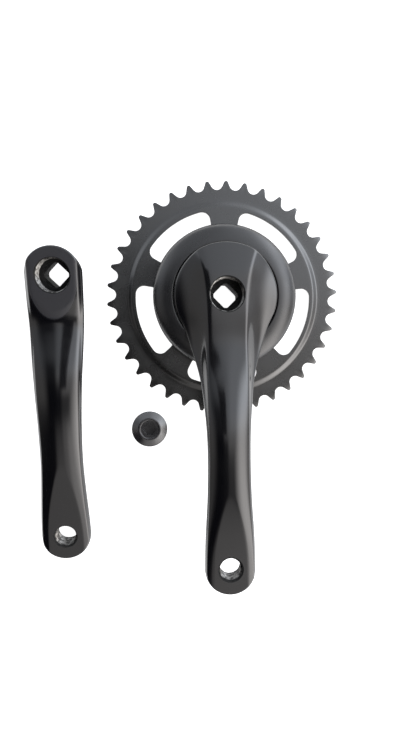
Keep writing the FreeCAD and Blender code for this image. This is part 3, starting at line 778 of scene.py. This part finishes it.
def dust_cap():
    """Threaded cap on its skirt: conical face, round recess and a hex socket in it."""
    turns = np.linspace(0, 360, 192, endpoint=False)
    rim, crest = CAP_SKIRT_H + CAP_RIM_H, CAP_SKIRT_H + CAP_TOP_H
    recess, floor_z = crest - CAP_RECESS_H, crest - CAP_RECESS_H - CAP_HEX_H
    core = CAP_THREAD_R - 0.55
    hexagon = (CAP_HEX_FLATS / 2) / np.cos(np.radians(turns % 60 - 30))
    hexagon = np.minimum(hexagon, CAP_HEX_FLATS / math.sqrt(3) - 0.12)
    sections = [
        (0.01, floor_z - CAP_FLOOR), (CAP_SKIRT_IN_R - 0.5, floor_z - CAP_FLOOR),
        (CAP_SKIRT_IN_R, floor_z - CAP_FLOOR - 0.3),
        (CAP_SKIRT_IN_R, 0.3), (CAP_SKIRT_IN_R + 0.3, 0), (core - 0.4, 0), (core, 0.4), (core, CAP_SKIRT_H),
        (CAP_R - 0.3, CAP_SKIRT_H), (CAP_R, CAP_SKIRT_H + 0.3), (CAP_R, rim - 0.35),
        (CAP_R - 0.12, rim - 0.1),
        (CAP_R - 0.4, rim), (CAP_CREST_R + 0.6, crest - 0.17), (CAP_CREST_R + 0.2, crest - 0.03),
        (CAP_CREST_R - 0.3, crest), (CAP_RECESS_R + 0.25, crest), (CAP_RECESS_R + 0.05, crest - 0.08),
        (CAP_RECESS_R, crest - 0.3), (CAP_RECESS_R, recess + 0.15), (CAP_RECESS_R - 0.15, recess),
        (hexagon + 0.2, recess), (hexagon, recess - 0.2), (hexagon, floor_z + 0.1),
        (hexagon - 0.1, floor_z), (0.01, floor_z),
    ]
    loops = [at_height(polar(r * np.ones(len(turns)), turns), z) for r, z in sections]
    body = loft("cap_body", loops, ends="joined")
    ridge = thread("cap_thread", core, core - CAP_THREAD_R, 1.0, 0.8, CAP_SKIRT_H - 0.8)
    for piece in (body, ridge):
        piece.data.materials.append(CAP_BLACK)
        smooth_by_angle(piece)
    return ride_in_place(join([body, ridge], "threaded_cap"), CAP, "cap", "dust_cap")


right_arm()
left_arm()
chainring()
guard_disc()
chainring_rivets()
dust_cap()


# ---------------------------------------------------------------- floor, light and camera
def floor():
    size = 3.0
    verts = [(-size, -size, 0), (size, -size, 0), (size, size, 0), (-size, size, 0)]
    m = material("pale_floor", (0.7, 0.7, 0.7), 0.85)
    shader = m.node_tree.nodes["Principled BSDF"]
    shader.inputs["Emission Color"].default_value = (1, 1, 1, 1)
    shader.inputs["Emission Strength"].default_value = 1.0
    obj = new_object("floor", verts, [(0, 1, 2, 3)], [m])


class Sky:
    """The studio round the object, built up from soft panels given by their direction."""

    def __init__(self, level):
        self.world = bpy.data.worlds.new("studio")
        bpy.context.scene.world = self.world
        self.world.use_nodes = True
        self.tree = self.world.node_tree
        where = self.tree.nodes.new("ShaderNodeTexCoord")
        split = self.tree.nodes.new("ShaderNodeSeparateXYZ")
        self.tree.links.new(where.outputs["Generated"], split.inputs[0])
        self.axis = {"x": split.outputs[0], "y": split.outputs[1], "z": split.outputs[2]}
        value = self.tree.nodes.new("ShaderNodeValue")
        value.outputs[0].default_value = level
        self.total = value.outputs[0]

    def combine(self, operation, first, second):
        node = self.tree.nodes.new("ShaderNodeMath")
        node.operation = operation
        for socket, given in zip(node.inputs, (first, second)):
            if isinstance(given, float):
                socket.default_value = given
            else:
                self.tree.links.new(given, socket)
        return node.outputs[0]

    def step(self, axis, start, stop):
        """Soft step that rises from 0 at start to 1 at stop along an axis."""
        node = self.tree.nodes.new("ShaderNodeMapRange")
        node.interpolation_type = "SMOOTHSTEP"
        node.inputs["From Min"].default_value = min(start, stop)
        node.inputs["From Max"].default_value = max(start, stop)
        node.inputs["To Min"].default_value = 0.0 if start < stop else 1.0
        node.inputs["To Max"].default_value = 1.0 if start < stop else 0.0
        self.tree.links.new(self.axis[axis], node.inputs["Value"])
        return node.outputs["Result"]

    def mask(self, steps):
        last = None
        for axis, start, stop in steps:
            here = self.step(axis, start, stop)
            last = here if last is None else self.combine("MULTIPLY", last, here)
        return last

    def add(self, strength, *steps):
        """A panel of light where every step is up."""
        self.total = self.combine("ADD", self.total, self.combine("MULTIPLY", self.mask(steps), strength))

    def dim(self, share, *steps):
        """A dark panel: take this share of the light away where every step is up."""
        kept = self.combine("SUBTRACT", 1.0, self.combine("MULTIPLY", self.mask(steps), share))
        self.total = self.combine("MULTIPLY", self.total, kept)

    def hang(self):
        tint = self.tree.nodes.new("ShaderNodeMix")
        tint.data_type = "RGBA"
        tint.inputs["A"].default_value = (1.0, 0.965, 0.945, 1)
        tint.inputs["B"].default_value = (0.94, 0.98, 1.05, 1)
        self.tree.links.new(self.step("y", -0.15, 0.25), tint.inputs["Factor"])
        self.tree.links.new(tint.outputs["Result"], self.tree.nodes["Background"].inputs["Color"])
        self.tree.links.new(self.total, self.tree.nodes["Background"].inputs["Strength"])


def world():
    sky = Sky(0.75)
    # upper right quarter, a little brighter
    sky.add(0.5, ("x", -0.05, 0.2), ("y", -0.05, 0.1))
    # the window: a tall bright panel half way up on the right, wider on the near side
    sky.add(2.4, ("x", 0.34, 0.66), ("x", 0.93, 0.74))
    sky.add(0.7, ("x", 0.45, 0.7), ("y", -0.1, -0.35))
    # dark panel on the left, dark band across the near side but not the right, dark near left quarter
    sky.dim(0.93, ("x", -0.14, -0.3), ("y", 0.45, 0.15))
    sky.dim(0.75, ("y", -0.06, -0.16), ("y", -0.42, -0.28), ("x", 0.42, 0.28))
    sky.dim(0.9, ("y", 0.05, -0.08), ("x", 0.1, -0.08))
    # small panels back inside the dark: far left, near left, near right
    sky.add(0.4, ("x", -0.5, -0.75), ("y", -0.4, -0.1))
    sky.add(0.5, ("x", -0.42, -0.26), ("x", 0.1, -0.1), ("y", -0.3, -0.5))
    sky.add(0.8, ("x", 0.12, 0.32), ("x", 0.6, 0.48), ("y", -0.26, -0.42))
    sky.hang()


def flag():
    """A small black card over the left arm that deepens its reflections."""
    x0, x1, y0, y1, z = -0.11, 0.0, -0.03, 0.14, 0.40
    verts = [(x0, y0, z), (x1, y0, z), (x1, y1, z), (x0, y1, z)]
    obj = new_object("flag", verts, [(0, 1, 2, 3)], [material("black_card", (0.002, 0.002, 0.002), 0.9)])
    obj.visible_camera = False


def camera():
    cam = bpy.data.cameras.new("camera")
    obj = bpy.data.objects.new("camera", cam)
    bpy.context.scene.collection.objects.link(obj)
    focal_px = 510.0
    cam.sensor_fit = "VERTICAL"
    cam.sensor_height = 36.0
    cam.lens = focal_px / 740.0 * 36.0
    cam.clip_start = 0.01
    lean_x, lean_y = 0.023, 0.055
    world_to_cam = Matrix.Rotation(lean_x, 3, "X") @ Matrix.Rotation(lean_y, 3, "Y")
    pose = world_to_cam.transposed().to_4x4()
    pose.translation = Vector((-0.00534, 0.0128, 0.35497))
    obj.matrix_world = pose
    bpy.context.scene.camera = obj


floor()
flag()
world()
camera()
bpy.context.scene.view_settings.view_transform = "Standard"
